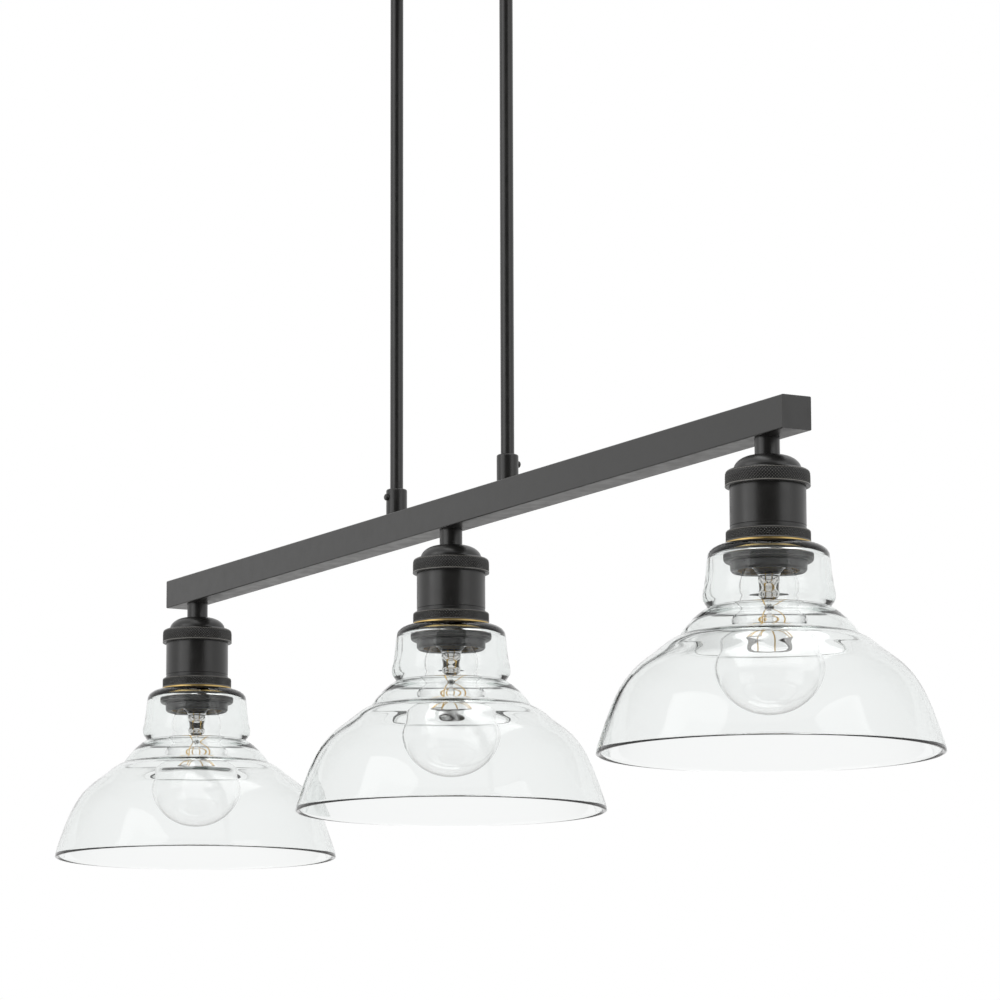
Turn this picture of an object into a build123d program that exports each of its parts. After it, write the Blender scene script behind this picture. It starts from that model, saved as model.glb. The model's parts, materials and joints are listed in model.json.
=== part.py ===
from build123d import *
import math
import os

# Linear island pendant: three bell shades on a square bar, hung on two rods from a ceiling canopy.
# Millimetres, +Z up, +X along the bar. The origin lies on the ceiling, at the middle of the canopy.

# ceiling strap and the studs that carry the canopy
strap_length = 250.0
strap_width = 22.0
strap_thickness = 2.5
box_slot_spacing = 79.4
box_slot_length = 15.0
box_slot_width = 4.6
stud_spacing = 230.0
stud_diameter = 4.0
stud_shoulder_diameter = 7.0
stud_shoulder_height = 3.0
ground_screw_offset = 18.0
ground_screw_diameter = 4.0
ground_head_diameter = 8.0
ground_head_height = 2.4
cap_nut_diameter = 12.0
cap_nut_height = 10.0
cap_nut_floor = 3.0
cap_nut_round = 2.0

# canopy
canopy_length = 300.0
canopy_width = 115.0
canopy_height = 28.0
canopy_wall = 1.5
canopy_corner_radius = 8.0
canopy_edge_radius = 3.0

# swivels that let the rods hang straight
ball_diameter = 18.0
ball_lift = 9.0
ball_top = 5.0
swivel_gap = 0.1
swing_angle = 20.0
swing_clearance = 0.5
seat_wall = 2.7
seat_rise = 7.5
seat_drop = 2.5
seat_flange_width = 2.4
seat_flange_thickness = 2.0

# rods, with the collars that stand on the bar
rod_spacing = 152.4
rod_diameter = 8.7
rod_bore = 6.0
rod_drop = 400.0
rod_end = 6.5
rod_nut_across = 12.5
rod_nut_height = 4.0
collar_diameter = 14.0
collar_height = 18.0
collar_round = 1.2
collar_screw_height = 12.3
collar_screw_diameter = 3.0
collar_head_diameter = 4.5
collar_head_height = 1.9
collar_head_crown = 1.1

# bar
bar_section = 20.0
bar_wall = 1.5
bar_length = 836.0
bar_edge_radius = 0.8
end_plate = 1.5
end_plug = 8.0
end_plug_wall = 2.0

# lamp holders, from the bar down
lamp_end_distance = 32.0
stem_diameter = 14.8
stem_length = 10.6
stem_thread = 9.7
stem_thread_up = 6.5
stem_thread_down = 6.0
stem_bore = 6.4
stem_nut_across = 13.0
stem_nut_height = 4.0
dome_diameter = 39.8
dome_height = 8.5
dome_wall = 1.5
dome_hub = 17.0
cap_flange_width = 2.1
cap_flange_thickness = 1.2
top_ring_diameter = 50.0
top_ring_height = 10.0
top_ring_lip = 1.5
ring_shoulder = 3.6
ring_edge_round = 0.8
body_diameter = 44.7
body_visible = 25.7
body_wall = 1.2
groove_height = 1.6
groove_width = 0.9
groove_depth = 0.35
lower_ring_diameter = 49.7
lower_ring_height = 7.2
lower_ring_floor = 1.6
lower_ring_rounding = 0.66
washer_diameter = 50.2
washer_thickness = 1.0
sleeve_diameter = 39.0
sleeve_wall = 2.1
sleeve_flange_width = 1.5
sleeve_flange_thickness = 2.0
sleeve_reach = 13.6

# inner lamp holder
core_height = 18.4
core_skirt = 14.0
core_top = 8.0
shell_bore = 27.0
shell_wall = 0.7
shell_height = 25.0
shell_mouth = 16.0
contact_diameter = 10.0
contact_thickness = 1.0
rivet_diameter = 3.0
terminal_diameter = 8.0
terminal_thickness = 1.2
shell_post_offset = 11.5
shell_post_diameter = 2.4
shell_post_height = 1.5

# retainer ring
retainer_diameter = 52.6
retainer_height = 7.0
retainer_round = 2.0
step_diameter = 44.8
step_height = 5.2
step_round = 1.4
step_mouth = 36.0
thread_pitch = 2.0
thread_turns = 3.0

# glass shade: radii and depths below its flat top; the dome's two shaping points are given as shares
# of its way out and of its way down, from the step ring to the rim
glass_wall = 3.0
flange_thickness = 4.2
flange_radius = 24.4
shoulder_radius = 35.5
shoulder_depth = 7.0
bead_radius = 38.4
bead_depth = 29.9
bead_round = 2.5
pinch_radius = 35.4
pinch_depth = 36.4
bell_bulge = 1.9
step_ring_radius = 52.2
step_ring_depth = 53.4
dome_shoulder_out = 0.60
dome_shoulder_down = 0.324
dome_flank_out = 0.88
dome_flank_down = 0.705
rim_radius = 101.0
rim_depth = 121.9
rim_round = 1.2

# bulb: radii, and depths below the top of its contact
bulb_tip_radius = 3.0
bulb_tip_depth = 1.6
bulb_cone_radius = 11.0
bulb_cone_depth = 5.6
bulb_cap_diameter = 26.0
bulb_skirt_diameter = 26.4
bulb_skirt_height = 4.0
bulb_cap_depth = 26.6
bulb_cap_wall = 0.6
bulb_neck_radius = 16.4
bulb_neck_depth = 33.0
bulb_waist_radius = 18.4
bulb_waist_depth = 49.5
bulb_cheek_radius = 26.2
bulb_cheek_depth = 67.8
bulb_radius = 32.0
bulb_widest_depth = 83.5
bulb_crown_radius = 22.4
bulb_crown_depth = 104.9
bulb_length = 113.2
bulb_wall = 0.8
mount_flare_radius = 12.2
mount_flare_height = 5.0
mount_tube_radius = 6.0
mount_tube_depth = 41.0
mount_press_radius = 3.4
mount_press_depth = 46.0
mount_rod_depth = 60.0
filament_depth = 71.0
filament_radius = 13.0
filament_lead_radius = 3.0
filament_wire = 0.7
filament_arc = 250.0

# wiring
wire_diameter = 1.8
wire_bend = 2.0
canopy_wire_bend = 4.0
canopy_wire_depth = 7.5
canopy_wire_end = 50.0
stem_wire_offset = 1.5
wire_nut_length = 20.0
wire_nut_mouth = 9.0
wire_nut_tip = 5.0
wire_nut_round = 1.0
splice_offset = 100.0
splice_length = 18.0
splice_diameter = 6.8
splice_side = 4.6
splice_straight = 3.0
lane_offset = 1.1
lane_turn = 10.0

# clearances
thread_gap = 0.05
slip_gap = 0.1
turn_gap = 0.3
hole_gap = 0.3
seat_gap = 0.3

# heights worked out from the sizes above
canopy_bottom = -canopy_height
swivel_height = canopy_bottom + ball_lift
bar_top = canopy_bottom - rod_drop
bar_bottom = bar_top - bar_section
dome_top = bar_bottom - stem_length
ring_top = dome_top - dome_height
cap_flange_top = ring_top - top_ring_lip
body_top = cap_flange_top - cap_flange_thickness
top_ring_bottom = ring_top - top_ring_height
lower_ring_top = top_ring_bottom - body_visible
lower_ring_bottom = lower_ring_top - lower_ring_height
body_bottom = lower_ring_bottom + lower_ring_floor
glass_top = lower_ring_bottom - washer_thickness
retainer_top = glass_top - flange_thickness
step_top = retainer_top - retainer_height
retainer_bottom = step_top - step_height
sleeve_bottom = glass_top - sleeve_reach
core_seat = body_bottom + sleeve_flange_thickness
core_roof = core_seat + core_height
shell_top = core_roof - core_top
bulb_top = shell_top - contact_thickness - seat_gap
bulb_plane = bulb_top - bulb_cap_depth
rim_height = glass_top - rim_depth

rod_places = (-rod_spacing / 2, rod_spacing / 2)
lamp_spacing = bar_length / 2 - lamp_end_distance
lamp_places = (-lamp_spacing, 0.0, lamp_spacing)
rod_radius = rod_diameter / 2
sleeve_radius = sleeve_diameter / 2
body_radius = body_diameter / 2
wire_radius = wire_diameter / 2


def turned(*corners):
    # closed outline of (radius, height) corners turned about Z; a third value rounds that corner
    face = make_face(Polyline(*[(corner[0], 0, corner[1]) for corner in corners], close=True))
    for corner in corners:
        if len(corner) == 3:
            nearest = face.vertices().sort_by_distance((corner[0], 0, corner[1]))[0]
            face = fillet(nearest, corner[2])
    return revolve(face, Axis.Z)


def tube(outer, inner, low, high):
    return turned((inner, low), (outer, low), (outer, high), (inner, high))


def rod_between(start, end, radius):
    # round bar from one point to another
    path = Line(start, end)
    return sweep(Plane(path @ 0, z_dir=path % 0) * Circle(radius), path=path)


def wire(*points, bend):
    path = FilletPolyline(*points, radius=bend)
    return sweep(Plane(path @ 0, z_dir=path % 0) * Circle(wire_radius), path=path)


def hex_nut(across, bore, low, height):
    profile = RegularPolygon(across / 2, 6, major_radius=False) - Circle(bore / 2)
    return Pos(0, 0, low) * extrude(profile, height)


# ceiling strap, studs, nuts and canopy

def ceiling_strap():
    strap = extrude(SlotOverall(strap_length, strap_width), -strap_thickness)
    slot = extrude(SlotOverall(box_slot_length, box_slot_width), -strap_thickness)
    stud_hole = tube(stud_diameter / 2 + thread_gap, 0, -strap_thickness, 0)
    ground_hole = tube(ground_screw_diameter / 2 + thread_gap, 0, -strap_thickness, 0)
    for side in (-1, 1):
        strap -= Pos(side * box_slot_spacing / 2, 0, 0) * slot
        strap -= Pos(side * stud_spacing / 2, 0, 0) * stud_hole
    return strap - Pos(ground_screw_offset, 0, 0) * ground_hole


def canopy_stud():
    shoulder_low = -strap_thickness - stud_shoulder_height
    return turned(
        (0, 0), (stud_diameter / 2, 0), (stud_diameter / 2, -strap_thickness),
        (stud_shoulder_diameter / 2, -strap_thickness), (stud_shoulder_diameter / 2, shoulder_low),
        (stud_diameter / 2, shoulder_low), (stud_diameter / 2, stud_bottom()), (0, stud_bottom()))


def stud_bottom():
    return canopy_bottom - cap_nut_height + cap_nut_floor + seat_gap


def canopy_cap_nut():
    bore = stud_diameter / 2 + thread_gap
    low = canopy_bottom - cap_nut_height
    radius = cap_nut_diameter / 2
    return turned(
        (bore, canopy_bottom), (radius, canopy_bottom), (radius, low, cap_nut_round), (0, low),
        (0, low + cap_nut_floor), (bore, low + cap_nut_floor))


def ground_screw():
    head_low = -strap_thickness - ground_head_height
    return Pos(ground_screw_offset, 0, 0) * turned(
        (0, 0), (ground_screw_diameter / 2, 0), (ground_screw_diameter / 2, -strap_thickness),
        (ground_head_diameter / 2, -strap_thickness),
        (ground_head_diameter / 2, head_low, ground_head_height / 2), (0, head_low))


def canopy_shell():
    outline = RectangleRounded(canopy_length, canopy_width, canopy_corner_radius)
    inner_length = canopy_length - 2 * canopy_wall
    inner_width = canopy_width - 2 * canopy_wall
    inner = RectangleRounded(inner_length, inner_width, canopy_corner_radius - canopy_wall)
    outer = extrude(outline, -canopy_height)
    outer = fillet(outer.faces().sort_by(Axis.Z)[0].edges(), canopy_edge_radius)
    hollow = extrude(inner, canopy_wall - canopy_height)
    hollow = fillet(hollow.faces().sort_by(Axis.Z)[0].edges(), canopy_edge_radius - canopy_wall)
    shell = outer - hollow
    seat_hole = tube(seat_radius() + slip_gap, 0, canopy_bottom, 0)
    stud_hole = tube(stud_diameter / 2 + hole_gap, 0, canopy_bottom, 0)
    for side, place in zip((-1, 1), rod_places):
        shell -= Pos(place, 0, 0) * seat_hole
        shell -= Pos(side * stud_spacing / 2, 0, 0) * stud_hole
    return shell


def seat_radius():
    return ball_diameter / 2 + swivel_gap + seat_wall


def mouth_radius(depth):
    # room that the rod needs at this depth below the ball's middle when it swings
    lean = math.radians(swing_angle)
    return depth * math.tan(lean) + rod_radius / math.cos(lean) + swing_clearance


def swivel_seat():
    radius = seat_radius()
    floor = canopy_bottom + canopy_wall
    low = canopy_bottom - seat_drop
    top = floor + seat_flange_thickness
    brim = radius + seat_flange_width
    seat = turned(
        (0, floor + seat_rise), (radius, floor + seat_rise), (radius, top), (brim, top), (brim, floor),
        (radius, floor), (radius, low, seat_drop / 2), (0, low))
    seat -= Pos(0, 0, swivel_height) * Sphere(ball_diameter / 2 + swivel_gap)
    mouth = mouth_radius(swivel_height - low)
    return seat - turned((0, swivel_height), (mouth_radius(0), swivel_height), (mouth, low), (0, low))


def swivel_ball():
    low = swivel_height - ball_diameter
    high = swivel_height + ball_diameter
    ball = Pos(0, 0, swivel_height) * Sphere(ball_diameter / 2)
    ball -= tube(ball_diameter, 0, swivel_height + ball_top, high)
    return ball - tube(rod_radius + thread_gap, 0, low, high)


# rods, collars and bar

def hanging_rod():
    return tube(rod_radius, rod_bore / 2, bar_top - rod_end, swivel_height + ball_top)


def rod_collar(side):
    bore = rod_radius + slip_gap
    top = bar_top + collar_height
    collar = turned(
        (bore, bar_top), (collar_diameter / 2, bar_top), (collar_diameter / 2, top, collar_round),
        (bore, top))
    height = bar_top + collar_screw_height
    hole = collar_screw_diameter / 2 + thread_gap
    return collar - rod_between((0, 0, height), (0, side * collar_diameter, height), hole)


def collar_screw(side):
    # round-headed clamp screw; side is -1 at the front of the bar and 1 at the back
    shank = rod_radius + slip_gap
    head = collar_diameter / 2
    tip = head + collar_head_height
    screw = turned(
        (0, shank), (collar_screw_diameter / 2, shank), (collar_screw_diameter / 2, head),
        (collar_head_diameter / 2, head), (collar_head_diameter / 2, tip, collar_head_crown), (0, tip))
    return Pos(0, 0, bar_top + collar_screw_height) * Rot(-90 * side, 0, 0) * screw


def square_bar():
    length = bar_length - 2 * end_plate
    outer = RectangleRounded(bar_section, bar_section, bar_edge_radius)
    inner = Rectangle(bar_section - 2 * bar_wall, bar_section - 2 * bar_wall)
    bar = Pos(-length / 2, 0, bar_top - bar_section / 2) * extrude(Plane.YZ * (outer - inner), length)
    for place in rod_places:
        bar -= Pos(place, 0, 0) * tube(rod_radius + slip_gap, 0, bar_top - bar_wall, bar_top)
    for place in lamp_places:
        bar -= Pos(place, 0, 0) * tube(stem_thread / 2 + slip_gap, 0, bar_bottom, bar_bottom + bar_wall)
    return bar


def end_cap(side):
    # flat plate on the bar's end with a hollow plug inside the bar
    inside = bar_section - 2 * bar_wall - 2 * slip_gap
    plug = Rectangle(inside, inside) - Rectangle(inside - 2 * end_plug_wall, inside - 2 * end_plug_wall)
    plate = RectangleRounded(bar_section, bar_section, bar_edge_radius)
    cap = extrude(Plane.YZ * plate, -end_plate) + extrude(Plane.YZ * plug, -end_plate - end_plug)
    return Pos(side * bar_length / 2, 0, bar_top - bar_section / 2) * Rot(0, 0, 90 - 90 * side) * cap


def rod_nut():
    low = bar_top - bar_wall - rod_nut_height
    return hex_nut(rod_nut_across, rod_diameter + 2 * thread_gap, low, rod_nut_height)


def stem_nut():
    return hex_nut(stem_nut_across, stem_thread + 2 * thread_gap, bar_bottom + bar_wall, stem_nut_height)


# lamp holder pieces, each made under the middle of the bar

def stem():
    return turned(
        (stem_bore / 2, bar_bottom + stem_thread_up), (stem_thread / 2, bar_bottom + stem_thread_up),
        (stem_thread / 2, bar_bottom), (stem_diameter / 2, bar_bottom), (stem_diameter / 2, dome_top),
        (stem_thread / 2, dome_top), (stem_thread / 2, dome_top - stem_thread_down),
        (stem_bore / 2, dome_top - stem_thread_down))


def dome_solid(radius, height, foot):
    top = stem_diameter / 2
    arc = EllipticalCenterArc((top, foot), radius - top, height, arc_size=90)
    crown = (0, foot + height)
    edges = [arc, Line(arc @ 1, crown), Line(crown, (0, foot)), Line((0, foot), arc @ 0)]
    return revolve(Plane.XZ * make_face(edges), Axis.Z)


def dome_cap():
    radius = dome_diameter / 2
    inner = radius - dome_wall
    bore = stem_thread / 2 + thread_gap
    cap = dome_solid(radius, dome_height, ring_top) + tube(radius, 0, cap_flange_top, ring_top)
    cap += tube(radius + cap_flange_width, 0, body_top, cap_flange_top)
    cap -= dome_solid(inner, dome_height - dome_wall, ring_top) + tube(inner, 0, body_top, ring_top)
    cap += tube(dome_hub / 2, 0, dome_top - stem_thread_down, dome_top - dome_wall / 2)
    return cap - tube(bore, 0, body_top, dome_top)


def top_ring():
    radius = top_ring_diameter / 2
    thread = body_radius + slip_gap
    lip = dome_diameter / 2 + slip_gap
    return turned(
        (lip, ring_top), (radius, ring_top, ring_shoulder), (radius, top_ring_bottom, ring_edge_round),
        (thread, top_ring_bottom), (thread, cap_flange_top), (lip, cap_flange_top))


def socket_body():
    inner = body_radius - body_wall
    groove_low = lower_ring_top + groove_height
    groove_floor = body_radius - groove_depth
    body = tube(body_radius, inner, body_bottom, body_top)
    return body - tube(body_radius + slip_gap, groove_floor, groove_low, groove_low + groove_width)


def lower_ring():
    radius = lower_ring_diameter / 2
    thread = body_radius + slip_gap
    hole = sleeve_radius + slip_gap
    corner = (radius - thread) * lower_ring_rounding
    return turned(
        (thread, lower_ring_top), (radius, lower_ring_top, corner), (radius, lower_ring_bottom),
        (hole, lower_ring_bottom), (hole, body_bottom), (thread, body_bottom))


def seat_washer():
    return tube(washer_diameter / 2, sleeve_radius + slip_gap, glass_top, lower_ring_bottom)


def threaded_sleeve():
    inner = sleeve_radius - sleeve_wall
    flange = sleeve_radius + sleeve_flange_width
    return turned(
        (inner, core_seat), (flange, core_seat), (flange, body_bottom), (sleeve_radius, body_bottom),
        (sleeve_radius, sleeve_bottom, sleeve_wall / 3), (inner, sleeve_bottom))


def insulator_core():
    skirt = sleeve_radius - sleeve_wall - slip_gap
    shoulder = sleeve_radius + sleeve_flange_width - slip_gap
    pocket = shell_bore / 2 + shell_wall + slip_gap
    rivet = rivet_diameter / 2 + thread_gap
    core = turned(
        (rivet, core_roof), (shoulder, core_roof), (shoulder, core_seat), (skirt, core_seat),
        (skirt, core_seat - core_skirt), (pocket, core_seat - core_skirt), (pocket, shell_top),
        (rivet, shell_top))
    post_hole = tube(shell_post_diameter / 2 + thread_gap, 0, shell_top, core_roof)
    return core - Pos(0, shell_post_offset, 0) * post_hole


def screw_shell():
    bore = shell_bore / 2
    outer = bore + shell_wall
    low = shell_top - shell_height
    shell = turned(
        (shell_mouth / 2, shell_top), (outer, shell_top), (outer, low), (bore, low),
        (bore, shell_top - shell_wall), (shell_mouth / 2, shell_top - shell_wall))
    post_top = core_roof + shell_post_height
    post = tube(shell_post_diameter / 2, 0, shell_top - shell_wall, post_top)
    return shell + Pos(0, shell_post_offset, 0) * post


def centre_contact():
    return turned(
        (0, core_roof + terminal_thickness), (terminal_diameter / 2, core_roof + terminal_thickness),
        (terminal_diameter / 2, core_roof), (rivet_diameter / 2, core_roof),
        (rivet_diameter / 2, shell_top), (contact_diameter / 2, shell_top),
        (contact_diameter / 2, shell_top - contact_thickness), (0, shell_top - contact_thickness))


def retainer_ring():
    radius = retainer_diameter / 2
    step = step_diameter / 2
    thread = sleeve_radius + turn_gap
    lip = sleeve_bottom - seat_gap
    return turned(
        (thread, retainer_top), (radius, retainer_top, retainer_round),
        (radius, step_top, retainer_round), (step, step_top), (step, retainer_bottom, step_round),
        (step_mouth / 2, retainer_bottom), (step_mouth / 2, lip), (thread, lip))


# glass shade

def dome_point(out, down):
    radius = step_ring_radius + out * (rim_radius - step_ring_radius)
    return (radius, -step_ring_depth - down * (rim_depth - step_ring_depth))


def drawn_in(before, point, after, inset):
    # the point moved square to the chord between its neighbours, towards the hollow side
    across = after[0] - before[0]
    down = before[1] - after[1]
    scale = inset / math.hypot(across, down)
    return (point[0] - down * scale, point[1] - across * scale)


def shade_line(inset):
    # the shade's outline from the flat top to the rim; the inner face is drawn in by the glass thickness
    # and stands half of it lower at the pinch and the step ring
    lift = inset * (flange_thickness / glass_wall)
    shoulder = EllipticalCenterArc(
        (flange_radius, -shoulder_depth), shoulder_radius - inset - flange_radius, shoulder_depth - lift,
        arc_size=90)
    bead = (bead_radius - inset, -bead_depth)
    pinch = (pinch_radius - inset, -pinch_depth - inset / 2)
    corner = (step_ring_radius - inset, -step_ring_depth - inset / 2)
    middle = ((pinch[0] + corner[0]) / 2 + bell_bulge, (pinch[1] + corner[1]) / 2 + bell_bulge)
    dome = [
        dome_point(0, 0), dome_point(dome_shoulder_out, dome_shoulder_down),
        dome_point(dome_flank_out, dome_flank_down), dome_point(1, 1)]
    dome_shoulder, flank = [drawn_in(*dome[first:first + 3], inset) for first in (0, 1)]
    rim = (rim_radius - inset, -rim_depth)
    return [
        shoulder,
        Line(shoulder @ 0, bead),
        Line(bead, pinch),
        ThreePointArc(pinch, middle, corner),
        Spline(corner, dome_shoulder, flank, rim),
    ]


def glass_shade():
    hole = sleeve_radius + turn_gap
    outer = shade_line(0)
    inner = shade_line(glass_wall)
    top = [
        Line(outer[0] @ 1, (hole, 0)), Line((hole, 0), (hole, -flange_thickness)),
        Line((hole, -flange_thickness), inner[0] @ 1)]
    rim = Line(outer[-1] @ 1, inner[-1] @ 1)
    face = make_face(outer + top + inner + [rim])
    rounds = [(outer[-1] @ 1, rim_round), (inner[-1] @ 1, rim_round)]
    rounds += [(outer[1] @ 1, bead_round), (inner[1] @ 1, bead_round), (inner[2] @ 1, bead_round)]
    for corner, radius in rounds:
        face = fillet(face.vertices().sort_by_distance(corner)[0], radius)
    return Pos(0, 0, glass_top) * revolve(Plane.XZ * face, Axis.Z)


# bulb

def bulb_cap():
    # hollow screw cap, shut at the top by its insulator and contact
    cap = bulb_cap_diameter / 2
    skirt = bulb_skirt_diameter / 2
    skirt_top = bulb_plane + bulb_skirt_height
    roof = bulb_top - bulb_cone_depth
    return turned(
        (0, bulb_top), (bulb_tip_radius, bulb_top), (bulb_tip_radius, bulb_top - bulb_tip_depth),
        (bulb_cone_radius, roof), (cap, roof, bulb_cap_wall), (cap, skirt_top), (skirt, skirt_top),
        (skirt, bulb_plane), (cap - bulb_cap_wall, bulb_plane),
        (cap - bulb_cap_wall, roof - bulb_cap_wall), (0, roof - bulb_cap_wall))


def bulb_face(inset):
    # half section of the envelope from the cap to the crown, drawn in by the glass thickness
    slant = inset * math.sqrt(0.5)
    points = [
        (bulb_skirt_diameter / 2 - inset, -bulb_cap_depth),
        (bulb_neck_radius - inset, -bulb_neck_depth),
        (bulb_waist_radius - inset, -bulb_waist_depth),
        (bulb_cheek_radius - inset, -bulb_cheek_depth),
        (bulb_radius - inset, -bulb_widest_depth),
        (bulb_crown_radius - slant, -bulb_crown_depth + slant),
        (0, -bulb_length + inset),
    ]
    side = Spline(*points, tangents=((1, -1), (-1, 0)))
    shut = (0, -bulb_cap_depth)
    return make_face([side, Line(side @ 1, shut), Line(shut, side @ 0)])


def bulb_glass():
    wall = bulb_face(0) - bulb_face(bulb_wall)
    return Pos(0, 0, bulb_top) * revolve(Plane.XZ * wall, Axis.Z)


def bulb_mount():
    # glass foot and rod with the lead wires and the ring of filament
    tube_low = bulb_top - mount_tube_depth
    press_low = bulb_top - mount_press_depth
    rod_low = bulb_top - mount_rod_depth
    coil = bulb_top - filament_depth
    mount = turned(
        (0, bulb_plane), (mount_flare_radius, bulb_plane),
        (mount_tube_radius, bulb_plane - mount_flare_height), (mount_tube_radius, tube_low),
        (mount_press_radius, press_low), (mount_press_radius, rod_low, mount_press_radius / 3),
        (0, rod_low))
    start = (360 - filament_arc) / 2
    half_wire = filament_wire / 2
    ring = CenterArc((0, 0, coil), filament_radius, start, filament_arc)
    mount += sweep(Plane(ring @ 0, z_dir=ring % 0) * Circle(half_wire), path=ring)
    for end in (ring @ 0, ring @ 1):
        foot = (0, math.copysign(filament_lead_radius, end.Y), press_low)
        mount += rod_between(foot, (end.X, end.Y, end.Z), half_wire)
        mount += Pos(end.X, end.Y, end.Z) * Sphere(filament_wire)
    return mount


# wiring: side is -1 for the live wires in the left rod and 1 for the neutral wires in the right rod

def canopy_lead(side):
    # down the rod from the canopy to the splice in the bar
    place = side * rod_spacing / 2
    lane = bar_top - bar_section / 2 + lane_offset
    side_lane = side * (splice_side - lane_offset)
    splice_face = splice_offset - splice_length / 2
    return wire(
        (side * canopy_wire_end, 0, -canopy_wire_depth), (place, 0, -canopy_wire_depth),
        (place, 0, lane), (side * (splice_face - splice_straight), side_lane, lane),
        (side * splice_face, side_lane, lane), bend=[canopy_wire_bend, wire_bend, wire_bend])


def socket_wire(side, face, across, rise, lamp, terminal):
    # from one end of the splice along the bar, down a stem and on to the lamp holder's terminal
    middle = bar_top - bar_section / 2
    lane = (side * (splice_side + across * lane_offset), middle + rise * lane_offset)
    start = side * (splice_offset + face * splice_length / 2)
    turn = lamp + math.copysign(lane_turn, start - lamp)
    offset = side * stem_wire_offset
    points = [(start, lane[0], lane[1]), (turn, lane[0], lane[1]), (lamp, offset, lane[1])]
    return wire(*points, *terminal(lamp, offset), bend=wire_bend)


def contact_route(lamp, offset):
    return [(lamp, offset, core_roof + terminal_thickness)]


def post_route(lamp, offset):
    low = dome_top - stem_thread_down
    landing = core_roof + shell_post_height
    bend_height = (low + landing) / 2
    bend_point = (lamp, shell_post_offset, bend_height)
    return [(lamp, offset, low), bend_point, (lamp, shell_post_offset, landing)]


def wire_set(side, terminal):
    outer_lamp = side * lamp_spacing
    wires = [canopy_lead(side)]
    wires.append(socket_wire(side, 1, -1, -1, outer_lamp, terminal))
    wires.append(socket_wire(side, -1, 1, 1, 0.0, terminal))
    wires.append(socket_wire(side, -1, 1, -1, -outer_lamp, terminal))
    return wires


def splice(side):
    start = (side * splice_offset - splice_length / 2, side * splice_side, bar_top - bar_section / 2)
    end = (start[0] + splice_length, start[1], start[2])
    return rod_between(start, end, splice_diameter / 2)


def wire_nut(side):
    # cone closed over the end of a lead, its mouth towards the rod
    cone = turned(
        (0, 0), (wire_nut_mouth / 2, 0), (wire_nut_tip / 2, wire_nut_length, wire_nut_round),
        (0, wire_nut_length))
    return Pos(side * canopy_wire_end, 0, -canopy_wire_depth) * Rot(0, -90 * side, 0) * cone


def save(name, *solids):
    shape = solids[0] if len(solids) == 1 else Compound(children=list(solids))
    export_step(shape, f"parts/{name}.step")


def at_rods(shape):
    return [Pos(place, 0, 0) * shape for place in rod_places]


def at_studs(shape):
    return [Pos(side * stud_spacing / 2, 0, 0) * shape for side in (-1, 1)]


def at_lamps(shape):
    return [Pos(place, 0, 0) * shape for place in lamp_places]


def build():
    os.makedirs("parts", exist_ok=True)
    save("ceiling_strap", ceiling_strap())
    save("canopy", canopy_shell())
    save("canopy_studs", *at_studs(canopy_stud()))
    save("canopy_cap_nuts", *at_studs(canopy_cap_nut()))
    save("ground_screw", ground_screw())
    save("swivel_seats", *at_rods(swivel_seat()))
    save("swivel_balls", *at_rods(swivel_ball()))
    screws = []
    for name, place, side in (("left", rod_places[0], -1), ("right", rod_places[1], 1)):
        save(f"rod_{name}", Pos(place, 0, 0) * hanging_rod())
        save(f"rod_collar_{name}", Pos(place, 0, 0) * rod_collar(side))
        screws.append(Pos(place, 0, 0) * collar_screw(side))
    save("collar_screws", *screws)
    save("rod_nuts", *at_rods(rod_nut()))
    save("bar", square_bar())
    save("bar_end_caps", end_cap(-1), end_cap(1))
    save("stem_nuts", *at_lamps(stem_nut()))
    save("seat_washers", *at_lamps(seat_washer()))
    save("screw_shells", *at_lamps(screw_shell()))
    save("centre_contacts", *at_lamps(centre_contact()))
    save("live_wires", *wire_set(-1, contact_route))
    save("neutral_wires", *wire_set(1, post_route))
    save("splices", splice(-1), splice(1))
    save("wire_nuts", wire_nut(-1), wire_nut(1))
    lamp_pieces = {
        "stem": stem(),
        "dome_cap": dome_cap(),
        "top_ring": top_ring(),
        "socket_body": socket_body(),
        "lower_ring": lower_ring(),
        "threaded_sleeve": threaded_sleeve(),
        "insulator_core": insulator_core(),
        "retainer_ring": retainer_ring(),
        "glass_shade": glass_shade(),
        "bulb_cap": bulb_cap(),
        "bulb_glass": bulb_glass(),
        "bulb_mount": bulb_mount(),
    }
    for name, piece in lamp_pieces.items():
        for number, placed in enumerate(at_lamps(piece), start=1):
            save(f"{name}_{number}", placed)


build()
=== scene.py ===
import json
import math

import bpy
import numpy as np
from mathutils import Matrix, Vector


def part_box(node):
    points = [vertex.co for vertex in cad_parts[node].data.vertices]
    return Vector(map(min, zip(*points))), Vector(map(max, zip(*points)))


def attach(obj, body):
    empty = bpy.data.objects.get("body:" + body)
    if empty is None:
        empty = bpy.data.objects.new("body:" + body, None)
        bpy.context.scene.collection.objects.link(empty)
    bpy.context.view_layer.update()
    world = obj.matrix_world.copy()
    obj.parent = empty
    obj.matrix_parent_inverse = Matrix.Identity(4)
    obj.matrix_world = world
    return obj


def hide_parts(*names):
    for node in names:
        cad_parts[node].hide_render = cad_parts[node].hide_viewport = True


# A linear pendant: a square black bar on two rods, with three clear bell shades under knurled holders.
# The pieces' sizes are in millimetres and the studio's in metres. Heights come from the frame, and every
# mesh is written in metres.

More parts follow.
